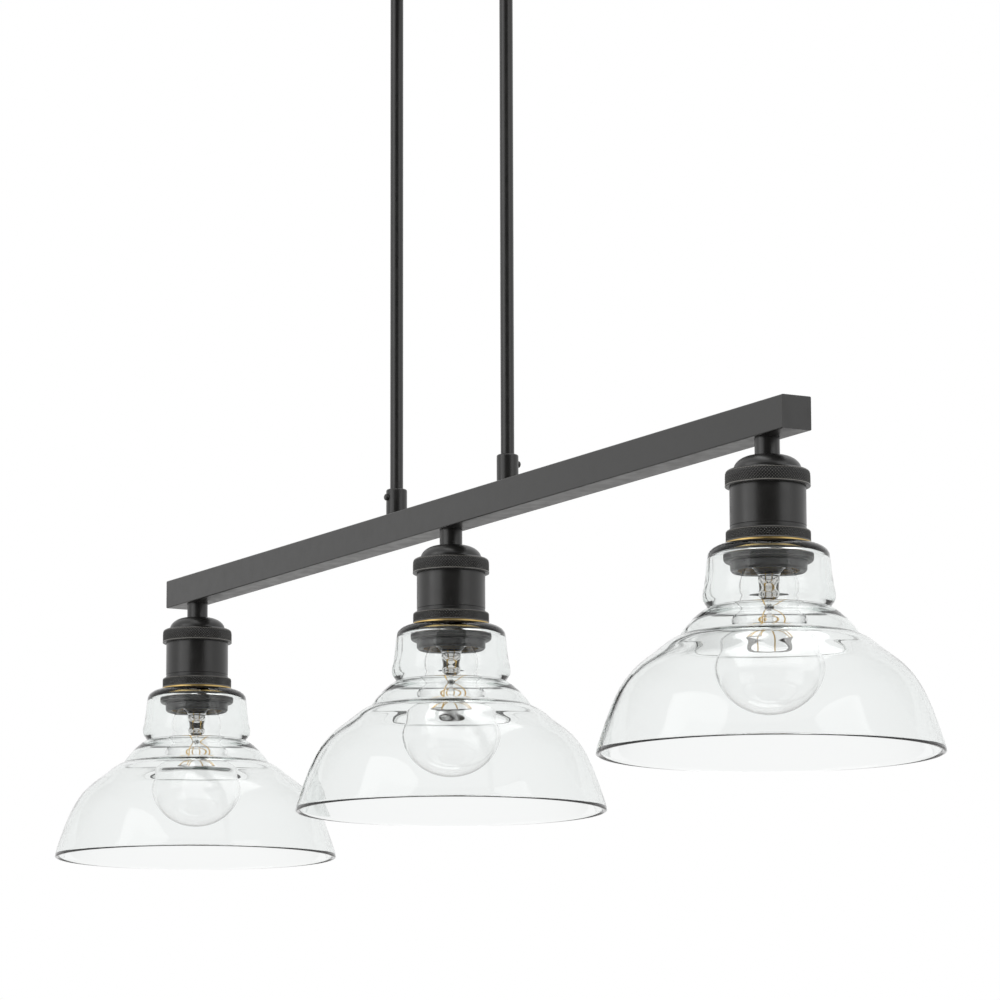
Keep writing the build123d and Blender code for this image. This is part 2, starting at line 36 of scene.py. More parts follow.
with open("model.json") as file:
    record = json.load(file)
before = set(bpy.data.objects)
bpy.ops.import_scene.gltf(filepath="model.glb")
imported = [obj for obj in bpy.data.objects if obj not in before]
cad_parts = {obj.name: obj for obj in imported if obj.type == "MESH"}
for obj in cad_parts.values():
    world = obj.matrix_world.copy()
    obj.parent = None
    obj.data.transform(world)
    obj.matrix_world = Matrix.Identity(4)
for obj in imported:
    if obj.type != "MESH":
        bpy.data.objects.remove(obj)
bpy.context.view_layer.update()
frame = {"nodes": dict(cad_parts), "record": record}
print("frame loaded:", len(frame["nodes"]), "nodes")

toMetres = 0.001
inMetre = 1000  # a pattern's scale is this over its size in millimetres
samePoint = 1e-4  # points of an outline closer than this are one, and a radius below it is on the axis
sharpFrom = 38  # degrees between two faces from which their edge stays sharp
lampNumbers = (1, 2, 3)


def linearColour(code):
    # sRGB hex to the linear colour that the shaders take
    parts = [int(code[start:start + 2], 16) / 255 for start in (1, 3, 5)]
    linear = [part / 12.92 if part <= 0.04045 else ((part + 0.055) / 1.055) ** 2.4 for part in parts]
    return (*linear, 1.0)


def addNode(tree, kind, settings=None, inputs=None):
    # one node with its settings; an input is a value, or another node's output to link from
    node = tree.nodes.new(kind)
    for name, value in (settings or {}).items():
        setattr(node, name, value)
    for key, value in (inputs or {}).items():
        if isinstance(value, bpy.types.NodeSocket):
            tree.links.new(value, node.inputs[key])
        else:
            node.inputs[key].default_value = value
    return node


def newMaterial(name, shaderValues):
    # a material with one Principled shader, whose plain values sit on its own sockets
    material = bpy.data.materials.new(name)
    material.use_nodes = True
    tree = material.node_tree
    tree.nodes.clear()
    shader = addNode(tree, "ShaderNodeBsdfPrincipled", inputs=shaderValues)
    output = addNode(tree, "ShaderNodeOutputMaterial", inputs={"Surface": shader.outputs[0]})
    place = addNode(tree, "ShaderNodeTexCoord")
    return material, tree, shader, output, place.outputs["Object"]


def layFinish(tree, shader, colours=None, roughness=None, relief=None):
    # three layers on a shader, each led by a pattern: colours is (pattern, first, second), roughness is
    # (pattern, low, high) over the middle of its range, relief is (pattern, millimetres, strength)
    links = tree.links
    if colours:
        pattern, first, second = colours
        mix = addNode(tree, "ShaderNodeMix", {"data_type": "RGBA"}, {
            0: pattern, 6: linearColour(first), 7: linearColour(second)})
        links.new(mix.outputs[2], shader.inputs["Base Color"])
    if roughness:
        pattern, low, high = roughness
        ramp = addNode(tree, "ShaderNodeMapRange", inputs={
            "Value": pattern, "From Min": 0.3, "From Max": 0.7, "To Min": low, "To Max": high})
        links.new(ramp.outputs[0], shader.inputs["Roughness"])
    if relief:
        pattern, depth, strength = relief
        raised = addNode(tree, "ShaderNodeBump", inputs={
            "Strength": strength, "Distance": depth * toMetres, "Height": pattern})
        links.new(raised.outputs[0], shader.inputs["Normal"])


def powderCoat():
    # polyester powder coat, sprayed and baked on steel: satin black with a fine orange peel; where a mesh has
    # the attribute "crest", the knurl crests get a painted highlight in light grey and the grooves get
    # painted shade in near black
    material, tree, shader, _, place = newMaterial("powderCoat", {"Specular IOR Level": 0.5})
    peel = addNode(tree, "ShaderNodeTexNoise", inputs={
        "Vector": place, "Scale": inMetre / 0.7, "Detail": 3.0})
    cloud = addNode(tree, "ShaderNodeTexNoise", inputs={
        "Vector": place, "Scale": inMetre / 9.0, "Detail": 3.0})
    crest = addNode(tree, "ShaderNodeAttribute", {"attribute_name": "crest"}).outputs["Fac"]
    # painted shade: the knurl's grooves are coloured near black
    paintedGrooveShade = addNode(tree, "ShaderNodeMapRange", inputs={
        "Value": crest, "From Min": -0.8, "From Max": -0.1, "To Min": 1.0, "To Max": 0.0})
    # painted highlight: the knurl's crests are coloured light grey
    paintedCrestHighlight = addNode(tree, "ShaderNodeMapRange", inputs={
        "Value": crest, "From Min": 0.2, "From Max": 0.9})
    colour = linearColour("#171716")
    # over the base black: random darker cloud, then the painted groove shade, then the painted crest
    # highlight
    for share, code in ((cloud, "#232221"), (paintedGrooveShade, "#050505"), (paintedCrestHighlight, "#75726c")):
        colour = addNode(tree, "ShaderNodeMix", {"data_type": "RGBA"}, {
            0: share.outputs[0], 6: colour, 7: linearColour(code)}).outputs[2]
    tree.links.new(colour, shader.inputs["Base Color"])
    layFinish(tree, shader, roughness=(cloud.outputs[0], 0.28, 0.37), relief=(peel.outputs[0], 0.03, 0.4))
    return material


def turnedBrass():
    # brass turned on a lathe and lacquered: warm yellow with fine rings and a little tarnish
    material, tree, shader, _, place = newMaterial("turnedBrass", {"Metallic": 1.0})
    tarnish = addNode(tree, "ShaderNodeTexNoise", inputs={
        "Vector": place, "Scale": inMetre / 5.0, "Detail": 4.0})
    flattened = addNode(tree, "ShaderNodeMapping", inputs={"Vector": place, "Scale": (0.04, 0.04, 1.0)})
    rings = addNode(tree, "ShaderNodeTexNoise", inputs={
        "Vector": flattened.outputs[0], "Scale": inMetre / 0.25})
    layFinish(tree, shader, (tarnish.outputs[0], "#ab8a4c", "#e4cb8e"), (tarnish.outputs[0], 0.38, 0.5),
              (rings.outputs[0], 0.02, 0.5))
    return material


def zincSteel():
    # zinc-plated pressed steel: cool grey with soft crystal patches
    material, tree, shader, _, place = newMaterial("zincSteel", {"Metallic": 1.0})
    spangle = addNode(tree, "ShaderNodeTexVoronoi", inputs={"Vector": place, "Scale": inMetre / 3.0})
    scuff = addNode(tree, "ShaderNodeTexNoise", inputs={
        "Vector": place, "Scale": inMetre / 1.2, "Detail": 4.0})
    layFinish(tree, shader, (spangle.outputs[0], "#9fa3a6", "#c3c6c8"), (scuff.outputs[0], 0.25, 0.42),
              (scuff.outputs[0], 0.01, 0.4))
    return material


def clearGlass(name, ripple, rippleMm, ior, tint, density):
    # clear glass; the tint in its depth darkens rims and edges, where the sight line runs along the wall,
    # and a grey specular tint keeps the face-on reflections weak, as on glass in a shaded studio
    material, tree, shader, output, place = newMaterial(name, {
        "Base Color": (1, 1, 1, 1), "Roughness": 0.0, "IOR": ior, "Transmission Weight": 1.0,
        "Specular Tint": linearColour("#9a9a9a")})
    waves = addNode(tree, "ShaderNodeTexNoise", inputs={
        "Vector": place, "Scale": inMetre / rippleMm, "Detail": 1.0})
    layFinish(tree, shader, relief=(waves.outputs[0], ripple, 0.5))
    depth = addNode(tree, "ShaderNodeVolumeAbsorption", inputs={
        "Color": linearColour(tint), "Density": density})
    tree.links.new(depth.outputs[0], output.inputs["Volume"])
    return material


def fineWire(name, first, second, rough):
    # drawn wire, bright with darker patches from the heat of sealing
    material, tree, shader, _, place = newMaterial(name, {"Metallic": 1.0})
    patches = addNode(tree, "ShaderNodeTexNoise", inputs={
        "Vector": place, "Scale": inMetre / 1.5, "Detail": 3.0})
    layFinish(tree, shader, (patches.outputs[0], first, second), (patches.outputs[0], rough, rough + 0.15))
    return material


def glazedPorcelain():
    # electrical porcelain, pressed and glazed: warm white, glossy, with rare dark specks
    material, tree, shader, _, place = newMaterial("glazedPorcelain", {"Coat Weight": 0.4})
    grit = addNode(tree, "ShaderNodeTexNoise", inputs={"Vector": place, "Scale": inMetre / 0.5})
    cloud = addNode(tree, "ShaderNodeTexNoise", inputs={"Vector": place, "Scale": inMetre / 6.0})
    specks = addNode(tree, "ShaderNodeMapRange", inputs={
        "Value": grit.outputs[0], "From Min": 0.68, "From Max": 0.72})
    layFinish(tree, shader, (specks.outputs[0], "#ece6d9", "#8b8272"), (cloud.outputs[0], 0.12, 0.24),
              (cloud.outputs[0], 0.05, 0.3))
    return material


def mouldedPlastic(name, first, second, rough, grainMm=0.4):
    # moulded or extruded plastic with a fine matt grain
    material, tree, shader, _, place = newMaterial(name, {"Specular IOR Level": 0.45})
    grain = addNode(tree, "ShaderNodeTexNoise", inputs={"Vector": place, "Scale": inMetre / grainMm})
    cloud = addNode(tree, "ShaderNodeTexNoise", inputs={"Vector": place, "Scale": inMetre / 5.0})
    layFinish(tree, shader, (cloud.outputs[0], first, second), (cloud.outputs[0], rough, rough + 0.12),
              (grain.outputs[0], 0.02, 0.5))
    return material


coat = powderCoat()
brass = turnedBrass()
zinc = zincSteel()
shadeGlass = clearGlass("sodaLimeShadeGlass", 0.12, 22.0, 1.52, "#9fb4ad", 32.0)
bulbGlass = clearGlass("sodaLimeBulbGlass", 0.03, 14.0, 1.51, "#a9b3b1", 18.0)
stemGlass = clearGlass("leadStemGlass", 0.05, 4.0, 1.56, "#a8a394", 30.0)
goldWire = fineWire("gildedSupportWire", "#9c7228", "#f0cc70", 0.2)
tungsten = fineWire("tungstenCoil", "#3c3a38", "#77736e", 0.35)
solder = fineWire("leadTinSolder", "#8e9092", "#c9cbcc", 0.25)
porcelain = glazedPorcelain()
blackGlass = mouldedPlastic("blackCapGlass", "#0c0c0e", "#1c1b20", 0.1, 3.0)
blackVinyl = mouldedPlastic("blackVinyl", "#141414", "#242424", 0.42)
whiteVinyl = mouldedPlastic("whiteVinyl", "#dddcd6", "#eeede8", 0.4)
crimpNylon = mouldedPlastic("greyNylon", "#8b8f94", "#a3a7ab", 0.45)
orangePlastic = mouldedPlastic("orangePolypropylene", "#c9521a", "#e06a2a", 0.4)
greenPlate = fineWire("greenPlatedSteel", "#1d6a38", "#3d9a5c", 0.3)
print("materials made")


def putObject(name, data):
    # a new object at the origin, in the scene
    made = bpy.data.objects.new(name, data)
    bpy.context.scene.collection.objects.link(made)
    return made


def putMesh(name, points, quads, triangles, material, body, slot, replaced):
    # the points and faces as one smooth-shaded object that rides on a body and stands for a node
    mesh = bpy.data.meshes.new(name)
    mesh.from_pydata((points * toMetres).tolist(), [], quads.tolist() + triangles.tolist())
    mesh.polygons.foreach_set("use_smooth", np.ones(len(mesh.polygons), dtype=bool))
    mesh.set_sharp_from_angle(angle=math.radians(sharpFrom))
    mesh.update()
    mesh.validate()
    piece = putObject(name, mesh)
    mesh.materials.append(material)
    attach(piece, body)
    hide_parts(replaced)
    return piece


def gridFaces(rows, columns, closeRows, poleStart, poleEnd):
    # quads between neighbours of a grid whose columns wrap; a pole row is one point with triangles
    index = np.arange(rows * columns).reshape(rows, columns)
    if poleStart:
        index[0] = index[0, 0]
    if poleEnd:
        index[-1] = index[-1, 0]
    below = index if closeRows else index[:-1]
    above = np.roll(index, -1, axis=0) if closeRows else index[1:]
    faces = np.stack([below, np.roll(below, -1, 1), np.roll(above, -1, 1), above], axis=-1)
    triangles = np.zeros((0, 3), dtype=int)
    if poleStart:
        triangles = np.concatenate([triangles, faces[0][:, [0, 2, 3]]])
        faces = faces[1:]
    if poleEnd:
        triangles = np.concatenate([triangles, faces[-1][:, [0, 1, 2]]])
        faces = faces[:-1]
    return faces.reshape(-1, 4), triangles


def packed(points, quads, triangles):
    # the points that some face uses, and the faces counted over them
    used, flat = np.unique(np.concatenate([quads.ravel(), triangles.ravel()]), return_inverse=True)
    return points[used], flat[:quads.size].reshape(-1, 4), flat[flat.size - triangles.size:].reshape(-1, 3)


def turnedPiece(name, outline, centre, material, body, slot, replaced, columns, relief=None):
    # surface of revolution: point (r, z) of the outline at angle a is (r cos a, r sin a, z) about the
    # centre; relief(a, r, z) is added to r. An outline that ends on the axis closes in a point there.
    outline = np.asarray(outline, dtype=float)
    apart = np.linalg.norm(outline - np.roll(outline, 1, axis=0), axis=1) > samePoint
    outline = outline[apart]
    radius, height = outline[:, 0], outline[:, 1]
    following = np.roll(outline, -1, axis=0)
    if np.sum(radius * following[:, 1] - following[:, 0] * height) < 0:
        outline = outline[::-1]
    atAxis = np.flatnonzero(outline[:, 0] < samePoint)
    poles = len(atAxis) == 2
    if poles:
        # turn the list so that it starts on the axis and ends on it
        first = atAxis[1] if atAxis[1] - atAxis[0] == 1 else atAxis[0]
        outline = np.roll(outline, -first, axis=0)
    angle = np.linspace(0, 2 * np.pi, columns, endpoint=False)[None, :]
    radius = np.repeat(outline[:, :1], columns, axis=1)
    height = np.repeat(outline[:, 1:], columns, axis=1)
    if relief is not None:
        radius = radius + relief(angle + 0 * radius, radius, height)
    points = np.stack([centre[0] + radius * np.cos(angle), centre[1] + radius * np.sin(angle), height],
                      axis=-1)
    faces = gridFaces(len(outline), columns, not poles, poles, poles)
    return putMesh(name, *packed(points.reshape(-1, 3), *faces), material, body, slot, replaced)


def rounded(*corners, steps=9):
    # closed outline of (radius, height, rounding) corners: each corner becomes a quadratic curve between
    # the two points one rounding away from it, with a close row outside each end to keep the flats flat;
    # a corner rounded by a millimetre or less keeps every second point
    corners = np.array([corner if len(corner) == 3 else (*corner, 0.0) for corner in corners], dtype=float)
    spot, cut = corners[:, :2], corners[:, 2:]
    before, after = np.roll(spot, 1, axis=0) - spot, np.roll(spot, -1, axis=0) - spot
    start = spot + before / np.linalg.norm(before, axis=1, keepdims=True) * cut
    end = spot + after / np.linalg.norm(after, axis=1, keepdims=True) * cut
    t = np.linspace(0, 1, steps)[None, :, None]
    curve = (1 - t) ** 2 * start[:, None] + 2 * t * (1 - t) * spot[:, None] + t ** 2 * end[:, None]
    hold = 0.12
    first = start + (start - spot) * hold
    last = end + (end - spot) * hold
    rows = np.concatenate([first[:, None], curve, last[:, None]], axis=1)
    kept = (np.arange(steps + 2) % 2 == 1) | (cut > 1.0)
    kept[:, [0, -1]] = True
    return rows[kept]


def withRows(outline, radius, low, high, step):
    # adds evenly spaced points to the longest straight wall at this radius, between two heights
    following = np.roll(outline, -1, axis=0)
    onWall = (np.abs(outline[:, 0] - radius) < 0.02) & (np.abs(following[:, 0] - radius) < 0.02)
    place = int(np.argmax(np.abs(outline[:, 1] - following[:, 1]) * onWall))
    low = max(low, min(outline[place, 1], following[place, 1]))
    high = min(high, max(outline[place, 1], following[place, 1]))
    levels = np.linspace(low, high, int(round((high - low) / step)) + 1)
    if outline[place, 1] > following[place, 1]:
        levels = levels[::-1]
    rows = np.stack([np.full(len(levels), radius), levels], axis=1)
    return np.concatenate([outline[:place + 1], rows, outline[place + 1:]])


def smoothLine(knots, steps, startSlope=None, endSlope=None):
    # cubic curve through the knots, each pair joined so that slope and bend match, read evenly
    knots = np.asarray(knots, dtype=float)
    run = np.concatenate([[0], np.cumsum(np.linalg.norm(np.diff(knots, axis=0), axis=1))])
    gap = np.diff(run)[:, None]
    count = len(knots)
    system = np.zeros((count, count))
    right = np.zeros((count, 2))
    inner = np.arange(1, count - 1)
    system[inner, inner - 1] = gap[1:, 0]
    system[inner, inner] = 2 * (gap[:-1, 0] + gap[1:, 0])
    system[inner, inner + 1] = gap[:-1, 0]
    rise = np.diff(knots, axis=0) / gap
    right[1:-1] = 3 * (gap[1:] * rise[:-1] + gap[:-1] * rise[1:])
    for end, other, slope, chord in ((0, 1, startSlope, rise[0]), (-1, -2, endSlope, rise[-1])):
        if slope is None:
            system[end, end], system[end, other], right[end] = 2, 1, 3 * chord
        else:
            system[end, end] = 1
            right[end] = np.array(slope, dtype=float) / np.linalg.norm(slope)
    slopes = np.linalg.solve(system, right)
    at = np.linspace(0, run[-1], steps)
    part = np.clip(np.searchsorted(run, at, side="right") - 1, 0, count - 2)
    width = gap[part]
    t = ((at - run[part])[:, None]) / width
    return ((2 * t ** 3 - 3 * t ** 2 + 1) * knots[part] + (t ** 3 - 2 * t ** 2 + t) * width * slopes[part]
            + (3 * t ** 2 - 2 * t ** 3) * knots[part + 1] + (t ** 3 - t ** 2) * width * slopes[part + 1])


def moved(line, distance):
    # the line with each of its points moved this far square to it
    heading = np.gradient(line, axis=0)
    heading /= np.linalg.norm(heading, axis=1, keepdims=True)
    return line + np.stack([-heading[:, 1], heading[:, 0]], axis=1) * distance


def tubePiece(name, paths, radius, material, body, slot, replaced, sides):
    # round wire along each path: at each point a circle stands square to the path, begun square to one
    # fixed direction that the path never follows, and the two ends are closed with a point
    allPoints, allQuads, allTriangles, start = [], [], [], 0
    turn = np.linspace(0, 2 * np.pi, sides, endpoint=False)[None, :, None]
    for path in paths:
        path = np.asarray(path, dtype=float)
        along = np.gradient(path, axis=0)
        along /= np.linalg.norm(along, axis=1, keepdims=True)
        leaning = abs(along[:, 2]).max() < 0.9
        sideways = np.cross(along, (0.31, 0.17, 0.93) if leaning else (0.93, 0.31, 0.17))
        sideways /= np.linalg.norm(sideways, axis=1, keepdims=True)
        upward = np.cross(along, sideways)
        rings = path[:, None] + radius * (np.cos(turn) * sideways[:, None] + np.sin(turn) * upward[:, None])
        first, last = np.repeat(path[:1, None], sides, 1), np.repeat(path[-1:, None], sides, 1)
        grid = np.concatenate([first, rings, last])
        faces = gridFaces(len(grid), sides, False, True, True)
        points, quads, triangles = packed(grid.reshape(-1, 3), *faces)
        allPoints.append(points)
        allQuads.append(quads + start)
        allTriangles.append(triangles + start)
        start += len(points)
    return putMesh(name, np.concatenate(allPoints), np.concatenate(allQuads), np.concatenate(allTriangles),
                   material, body, slot, replaced)


def span(node):
    # a node's middle in plan, its lowest and highest level and its half width, in millimetres
    low, high = [np.array(corner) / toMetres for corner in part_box(node)]
    return (low[:2] + high[:2]) / 2, low[2], high[2], (high[0] - low[0]) / 2


# real diamonds of this kind are about 1 mm apart, too fine to show at this size, so these are drawn coarser
knurl = {"pitch": 1.9, "depth": 0.6, "samples": 8, "fade": 0.6, "cutReach": 1.7, "crestReach": 2.0}


def diamonds(radius, low, high):
    # diamond knurl: the height is the lower of two triangle waves that run round the ring in opposite
    # helices, and it fades to nothing at the band's two edges
    count = int(round(2 * math.pi * radius / knurl["pitch"]))

    def relief(angle, here, height):
        around = angle * count / (2 * np.pi)
        up = (height - low) / knurl["pitch"]
        first = 1 - np.abs(2 * ((around + up) % 1) - 1)
        second = 1 - np.abs(2 * ((around - up) % 1) - 1)
        inBand = np.clip(np.minimum(height - low, high - height) / knurl["fade"], 0, 1)
        return (np.minimum(first, second) - 1) * knurl["depth"] * inBand * (here > radius - knurl["cutReach"])

    return relief, count * knurl["samples"]


def rolledThread(pitch, depth, low, high, radius, reach):
    # rolled round thread: a cosine wave that climbs one pitch in each turn, on the walls near this radius
    def relief(angle, here, height):
        wave = 0.5 * np.cos(2 * np.pi * (height / pitch - angle / (2 * np.pi))) - 0.5
        window = np.clip(np.minimum(height - low, high - height) / (0.4 * pitch), 0, 1)
        return wave * depth * window * (np.abs(here - radius) < reach)

    return relief


shade = {
    "wall": 3.0, "flange": 4.2, "hole": 19.8, "flangeEdge": 24.4, "shoulderDrop": 2.2,
    "shoulder": (35.5, 7.0),
    "bead": ((36.9, 19.1), (38.0, 25.6), (38.7, 29.9), (37.9, 33.4), (36.2, 35.6), (35.4, 36.9)),
    "beadInside": ((33.4, 21.1), (34.4, 27.1), (34.3, 31.7), (33.2, 34.9), (32.3, 37.9)),
    "flare": ((39.6, 39.3), (44.6, 43.7), (48.9, 48.4)),
    "flareInside": ((36.6, 41.7), (42.6, 46.4), (46.6, 51.3), (49.2, 55.7)),
    "stepRing": (52.2, 53.4), "stepLip": 1.1,
    "dome": ((66.0, 62.3), (78.0, 71.9), (87.5, 84.5), (94.8, 101.3), (99.0, 113.6)),
    "rim": (101.0, 121.9), "rimRound": 1.2,
    "columns": 200,
}


def shadeOutline(top):
    # outer line from the flat top down to the rim, then back up inside, one wall thickness in
    s = shade
    t = np.linspace(0, np.pi / 2, 16)[:, None]
    shoulder = np.hstack([s["flangeEdge"] + (s["shoulder"][0] - s["flangeEdge"]) * np.sin(t),
                          s["shoulder"][1] * (1 - np.cos(t))])
    collar = smoothLine([s["shoulder"], *s["bead"]], 46, startSlope=(0.2, 1))
    flare = smoothLine([s["bead"][-1], *s["flare"], s["stepRing"]], 30,
                       startSlope=(1, 0.25), endSlope=(0.45, 1))
    step = np.array(s["stepRing"])
    lip = (step + s["stepLip"] * np.array([0.6, 0.5]))[None, :]
    dome = smoothLine([step + s["stepLip"] * np.array([1.0, 0.6]), *s["dome"], s["rim"]], 90,
                      startSlope=(1, 0.28), endSlope=(0.1, 1))
    outer = np.concatenate([shoulder, collar[1:], flare[1:], lip, dome])
    domeIn = moved(dome, s["wall"])
    rimTop = s["rim"][1] - s["rimRound"]
    domeIn = domeIn[(domeIn[:, 1] < rimTop) & (domeIn[:, 0] > s["stepRing"][0] - 1)]
    t = np.linspace(0, np.pi, 9)[1:-1, None]
    half = s["wall"] / 2
    rim = np.hstack([s["rim"][0] - half + half * np.cos(t), rimTop + s["rimRound"] * np.sin(t)])
    outer = outer[outer[:, 1] < rimTop + samePoint]
    flareIn = smoothLine([s["beadInside"][-1], *s["flareInside"]], 30)
    shoulderWall = s["shoulder"][0] - s["wall"]
    drop = s["shoulder"][1] + s["shoulderDrop"]
    collarIn = smoothLine([(shoulderWall, drop), *s["beadInside"]], 40)
    t = np.linspace(0, np.pi / 2, 12)[:, None]
    shoulderIn = np.hstack([s["flangeEdge"] + (shoulderWall - s["flangeEdge"]) * np.sin(t),
                            s["flange"] + (drop - s["flange"]) * (1 - np.cos(t))])
    inner = np.concatenate([shoulderIn, collarIn[1:], flareIn[1:], domeIn])[::-1]
    hole = np.array([(s["hole"], s["flange"]), (s["hole"], 0.0)])
    outline = np.concatenate([outer, rim, inner, hole])
    outline[:, 1] = top - outline[:, 1]
    return outline


lampCentres = {}
for number in lampNumbers:
    centre, _, high, _ = span(f"glass_shade_{number}")
    lampCentres[number] = centre
    turnedPiece(f"glassShade{number}", shadeOutline(high), centre, shadeGlass, f"shade_{number}",
                "clear_shade_glass", f"glass_shade_{number}", shade["columns"])
print("shades turned")


bulb = {
    "wall": 0.8, "plane": 26.6, "skirt": 13.2,
    "outline": ((13.2, 26.6), (16.4, 33.0), (18.4, 49.5), (26.2, 67.8), (32.0, 83.5), (22.4, 104.9),
                (0.0, 113.2)),
    "capRadius": 13.0, "capWall": 0.6, "capTop": 5.6, "skirtHeight": 4.0,
    "threadPitch": 3.63, "threadDepth": 0.7, "threadFoot": 0.5, "threadHead": 1.4, "threadRows": 0.25,
    "insulatorTop": 1.5, "insulatorTopRadius": 4.4, "insulatorRadius": 10.9, "tipRadius": 3.0,
    "flare": 12.2, "tubeRadius": 6.2, "tubeBore": 5.3, "tubeEnd": 41.0,
    "rodRadius": 1.7, "rodEnd": 60.0, "buttonRadius": 3.2,
    "leadApart": (2.4, 2.0), "kneeShare": (0.3, 0.45), "supportKnee": 0.62,
    "coilLevel": 71.0, "coilRing": 13.0, "coilArc": 250.0, "coilRadius": 0.42, "coilWire": 0.12,
    "coilTurns": 130, "supportWire": 0.42, "supports": 5,
}


def bulbEnvelope(top):
    # pear-shaped envelope: the outer line from cap to crown, and the same line one wall inside
    b = bulb
    outer = smoothLine(b["outline"], 110, startSlope=(1, 1), endSlope=(-1, 0))
    inner = moved(outer, b["wall"])
    inner[0] = (b["skirt"] - b["wall"], b["plane"])
    inner[-1] = (0.0, b["outline"][-1][1] - b["wall"])
    inner = inner[(inner[:, 1] > b["plane"] + 0.3) | (np.arange(len(inner)) == 0)]
    outline = np.concatenate([outer, inner[::-1]])
    outline[:, 1] = top - outline[:, 1]
    return outline


def screwCap(number, centre, top):
    # screw cap with its rolled thread and plain skirt, the black glass in its end and the soldered tip
    b = bulb
    body, slot, node = f"bulb_{number}", "brass", f"bulb_cap_{number}"
    low, high = top - b["plane"], top - b["capTop"]
    skirtTop, under = low + b["skirtHeight"], high - b["capWall"]
    inside = b["capRadius"] - b["capWall"]
    threadLow, threadHigh = skirtTop + b["threadFoot"], high - b["threadHead"]
    cap = rounded((b["insulatorRadius"], high), (b["capRadius"], high, 0.8), (b["capRadius"], skirtTop, 0.15),
                  (b["skirt"], skirtTop, 0.15), (b["skirt"], low), (inside, low), (inside, under),
                  (b["insulatorRadius"], under))
    cap = withRows(cap, b["capRadius"], threadLow, threadHigh, b["threadRows"])
    thread = rolledThread(b["threadPitch"], b["threadDepth"], threadLow, threadHigh, b["capRadius"], 0.3)
    turnedPiece(f"bulbScrewCap{number}", cap, centre, brass, body, slot, node, 96, thread)
    insulatorTop = top - b["insulatorTop"]
    turnedPiece(f"bulbCapGlass{number}", rounded(
        (0.0, insulatorTop), (b["insulatorTopRadius"], insulatorTop, 0.6),
        (b["insulatorRadius"], high + 0.1, 0.6), (b["insulatorRadius"], under), (0.0, under)),
        centre, blackGlass, body, slot, node, 64)
    tip = b["tipRadius"]
    turnedPiece(f"bulbContact{number}", rounded(
        (0.0, top), (tip * 0.55, top, 0.3), (tip, top - b["insulatorTop"] * 0.7, 0.5),
        (tip, insulatorTop), (0.0, insulatorTop)), centre, solder, body, slot, node, 48)


def mountGlass(number, centre, top):
    # glass mount: a flared tube, shut and pressed at its foot, with a rod and a button below
    b = bulb
    plane, end, tip, tubeRadius, bore = b["plane"], b["tubeEnd"], b["rodEnd"], b["tubeRadius"], b["tubeBore"]
    outside = smoothLine([
        (b["flare"], plane + 0.2), (8.0, plane + 2.6), (tubeRadius, plane + 6.5), (tubeRadius, end - 3.5),
        (4.6, end), (3.1, end + 2.4), (b["rodRadius"], end + 5.5), (b["rodRadius"], tip - 4.5),
        (b["buttonRadius"], tip - 1.9), (b["rodRadius"], tip - 0.2), (0.0, tip)], 90)
    outside[:, 0] = np.maximum(outside[:, 0], 0)
    inside = smoothLine([(0.0, end - 2.6), (3.6, end - 4.2), (bore, end - 8.5), (bore, plane + 6.5),
                         (7.1, plane + 2.9), (b["flare"] - 1.2, plane + 0.2)], 40)
    mount = np.concatenate([outside, inside])
    mount[:, 1] = top - mount[:, 1]
    turnedPiece(f"bulbMountGlass{number}", mount, centre, stemGlass, f"bulb_{number}", "bulb_mount",
                f"bulb_mount_{number}", 64)


def filament(number, centre, level):
    # a fine coil wound round a ring of wire that is open towards one side: the winding angle goes round
    # once in each turn while the sweep goes along the ring's arc
    b = bulb
    arc = math.radians(b["coilArc"])
    t = np.linspace(0, 1, b["coilTurns"] * 10)
    sweep = math.pi - arc / 2 + arc * t
    wind = 2 * np.pi * b["coilTurns"] * t
    reach = b["coilRing"] + b["coilRadius"] * np.cos(wind)
    coil = np.stack([centre[0] + reach * np.cos(sweep), centre[1] + reach * np.sin(sweep),
                     level + b["coilRadius"] * np.sin(wind)], axis=1)
    tubePiece(f"bulbFilament{number}", [coil], b["coilWire"], tungsten, f"bulb_{number}", "bulb_mount",
              f"bulb_mount_{number}", 5)


def bent(start, knee, end, count):
    # quadratic curve from start to end, pulled towards the knee
    u = np.linspace(0, 1, count)[:, None]
    return (1 - u) ** 2 * start + 2 * u * (1 - u) * knee + u ** 2 * end


def supportWires(number, centre, top, level):
    # gilded wires: two leads from inside the tube to the coil's ends, and supports from the button to it
    b = bulb
    arc = math.radians(b["coilArc"])
    lines = []
    for end in (-1, 1):
        bearing = math.pi + end * arc / 2
        foot = np.array([centre[0], centre[1] - end * b["leadApart"][0], top - b["plane"] - 2.0])
        press = np.array([centre[0], centre[1] - end * b["leadApart"][1], top - b["tubeEnd"] - 3.0])
        reach = b["coilRing"] * np.array([math.cos(bearing), math.sin(bearing)])
        tip = np.array([*(centre + reach), level])
        knee = np.array([*(centre + np.array(b["kneeShare"]) * reach), press[2] - 4.0])
        u = np.linspace(0, 1, 24)[:, None]
        lines.append(np.concatenate([foot * (1 - u) + press * u, bent(press, knee, tip, 24)[1:]]))
    for which in range(b["supports"]):
        bearing = math.pi - arc / 2 + arc * (which + 0.7) / (b["supports"] + 0.4)
        side = np.array([math.cos(bearing), math.sin(bearing), 0.0])
        root = np.array([*centre, top - b["rodEnd"] + 1.9]) + side * (b["buttonRadius"] - 1.4)
        tip = np.array([*centre, level + 0.5]) + side * (b["coilRing"] + 0.2)
        knee = np.array([*centre, root[2] + 0.4]) + side * (b["coilRing"] * b["supportKnee"])
        lines.append(bent(root, knee, tip, 18))
    tubePiece(f"bulbSupportWires{number}", lines, b["supportWire"], goldWire, f"bulb_{number}", "bulb_mount",
              f"bulb_mount_{number}", 7)


